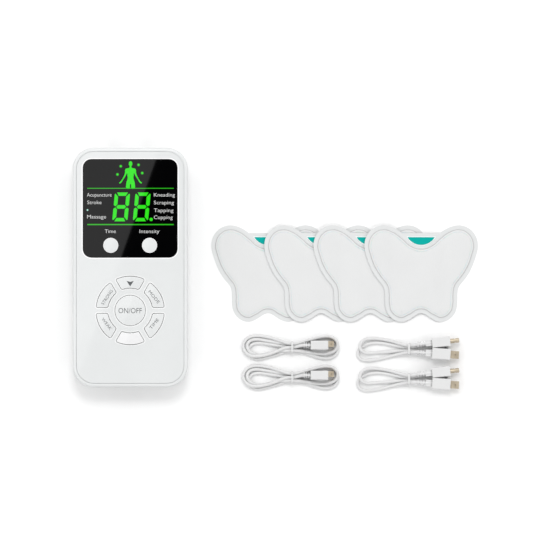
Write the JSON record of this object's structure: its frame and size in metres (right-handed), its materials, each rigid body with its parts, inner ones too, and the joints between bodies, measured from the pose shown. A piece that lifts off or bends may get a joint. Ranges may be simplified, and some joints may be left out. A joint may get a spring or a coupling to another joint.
{
  "type": "tens unit",
  "caption": "Flat hand-held nerve stimulator with a lit window and a ring of keys, laid out with fanned butterfly electrode pads and short tied leads.",
  "frame": {"origin": "centre of the handset's flat back face, which lies on the table", "axes": "+Z out of the handset's front face, +Y towards its top end, +X from the handset towards the pads"},
  "size_m": [0.2204, 0.1321, 0.0182],
  "materials": {
    "white_casing": "gloss",
    "black_window": "gloss",
    "white_key": "satin",
    "circuit_board": "satin",
    "dark_plastic": "matt",
    "display_frame": "matt",
    "steel": "brushed",
    "battery_foil": "satin",
    "red_wire": "satin",
    "copper_coil": "enamelled",
    "release_film": "satin",
    "gel": "tacky",
    "pad_fabric": "fine non-woven",
    "teal_tab": "satin",
    "white_cord": "satin",
    "wire_tie": "satin",
    "white_plug": "satin",
    "gold_contact": "gold plated"
  },
  "bodies": {
    "handset": {"rear_shell": "white_casing", "front_shell": "white_casing", "face_plate": "white_casing", "display_window": "black_window", "main_board": "circuit_board", "tact_switches": "dark_plastic", "display_module": "display_frame", "output_jacks": "dark_plastic", "charge_port": "steel", "battery_cell": "battery_foil", "battery_leads": "red_wire", "output_coils": "copper_coil", "control_chip": "dark_plastic", "buzzer": "dark_plastic", "housing_screws": "steel"},
    "power_key": {"power_button": "white_key"},
    "arrow_key": {"arrow_button": "white_key"},
    "strong_key": {"strong_button": "white_key"},
    "weak_key": {"weak_button": "white_key"},
    "blank_key": {"blank_button": "white_key"},
    "time_key": {"time_button": "white_key"},
    "mode_key": {"mode_button": "white_key"},
    "timer_key": {"timer_button": "white_key"},
    "intensity_key": {"intensity_button": "white_key"},
    "pad_1": {"pad_1_liner": "release_film", "pad_1_gel": "gel", "pad_1_cover": "pad_fabric", "pad_1_tab": "teal_tab"},
    "pad_2": {"pad_2_liner": "release_film", "pad_2_gel": "gel", "pad_2_cover": "pad_fabric", "pad_2_tab": "teal_tab"},
    "pad_3": {"pad_3_liner": "release_film", "pad_3_gel": "gel", "pad_3_cover": "pad_fabric", "pad_3_tab": "teal_tab"},
    "pad_4": {"pad_4_liner": "release_film", "pad_4_gel": "gel", "pad_4_cover": "pad_fabric", "pad_4_tab": "teal_tab"},
    "charge_lead_1": {"charge_lead_1_cable": "white_cord", "charge_lead_1_tie": "wire_tie", "charge_lead_1_plugs": "white_plug", "charge_lead_1_shells": "gold_contact"},
    "charge_lead_2": {"charge_lead_2_cable": "white_cord", "charge_lead_2_tie": "wire_tie", "charge_lead_2_plugs": "white_plug", "charge_lead_2_shells": "gold_contact"},
    "electrode_lead_1": {"electrode_lead_1_cable": "white_cord", "electrode_lead_1_tie": "wire_tie", "electrode_lead_1_flat_plug": "white_plug", "electrode_lead_1_flat_shell": "gold_contact", "electrode_lead_1_pin_plug": "white_plug", "electrode_lead_1_pin": "gold_contact"},
    "electrode_lead_2": {"electrode_lead_2_cable": "white_cord", "electrode_lead_2_tie": "wire_tie", "electrode_lead_2_flat_plug": "white_plug", "electrode_lead_2_flat_shell": "gold_contact", "electrode_lead_2_pin_plug": "white_plug", "electrode_lead_2_pin": "gold_contact"}
  },
  "joints": [
    {"name": "power_press", "type": "slide", "parent": "handset", "child": "power_key", "axis": [0, 0, -1], "range_m": [0, 0.0005], "stiffness_N_per_m": 400, "springref_m": -0.0003},
    {"name": "arrow_press", "type": "slide", "parent": "handset", "child": "arrow_key", "axis": [0, 0, -1], "range_m": [0, 0.0005], "stiffness_N_per_m": 400, "springref_m": -0.0003},
    {"name": "strong_press", "type": "slide", "parent": "handset", "child": "strong_key", "axis": [0, 0, -1], "range_m": [0, 0.0005], "stiffness_N_per_m": 400, "springref_m": -0.0003},
    {"name": "weak_press", "type": "slide", "parent": "handset", "child": "weak_key", "axis": [0, 0, -1], "range_m": [0, 0.0005], "stiffness_N_per_m": 400, "springref_m": -0.0003},
    {"name": "blank_press", "type": "slide", "parent": "handset", "child": "blank_key", "axis": [0, 0, -1], "range_m": [0, 0.0005], "stiffness_N_per_m": 400, "springref_m": -0.0003},
    {"name": "time_press", "type": "slide", "parent": "handset", "child": "time_key", "axis": [0, 0, -1], "range_m": [0, 0.0005], "stiffness_N_per_m": 400, "springref_m": -0.0003},
    {"name": "mode_press", "type": "slide", "parent": "handset", "child": "mode_key", "axis": [0, 0, -1], "range_m": [0, 0.0005], "stiffness_N_per_m": 400, "springref_m": -0.0003},
    {"name": "timer_press", "type": "slide", "parent": "handset", "child": "timer_key", "axis": [0, 0, -1], "range_m": [0, 0.0005], "stiffness_N_per_m": 400, "springref_m": -0.0003},
    {"name": "intensity_press", "type": "slide", "parent": "handset", "child": "intensity_key", "axis": [0, 0, -1], "range_m": [0, 0.0005], "stiffness_N_per_m": 400, "springref_m": -0.0003},
    {"name": "pad_1_lift", "type": "slide", "parent": "handset", "child": "pad_1", "axis": [0, 0, 1], "range_m": [0, 0.03]},
    {"name": "pad_2_lift", "type": "slide", "parent": "pad_1", "child": "pad_2", "axis": [0, 0, 1], "range_m": [0, 0.03]},
    {"name": "pad_3_lift", "type": "slide", "parent": "pad_2", "child": "pad_3", "axis": [0, 0, 1], "range_m": [0, 0.03]},
    {"name": "pad_4_lift", "type": "slide", "parent": "pad_3", "child": "pad_4", "axis": [0, 0, 1], "range_m": [0, 0.03]},
    {"name": "charge_lead_1_lift", "type": "slide", "parent": "handset", "child": "charge_lead_1", "axis": [0, 0, 1], "range_m": [0, 0.05]},
    {"name": "charge_lead_2_lift", "type": "slide", "parent": "handset", "child": "charge_lead_2", "axis": [0, 0, 1], "range_m": [0, 0.05]},
    {"name": "electrode_lead_1_lift", "type": "slide", "parent": "handset", "child": "electrode_lead_1", "axis": [0, 0, 1], "range_m": [0, 0.05]},
    {"name": "electrode_lead_2_lift", "type": "slide", "parent": "handset", "child": "electrode_lead_2", "axis": [0, 0, 1], "range_m": [0, 0.05]}
  ]
}
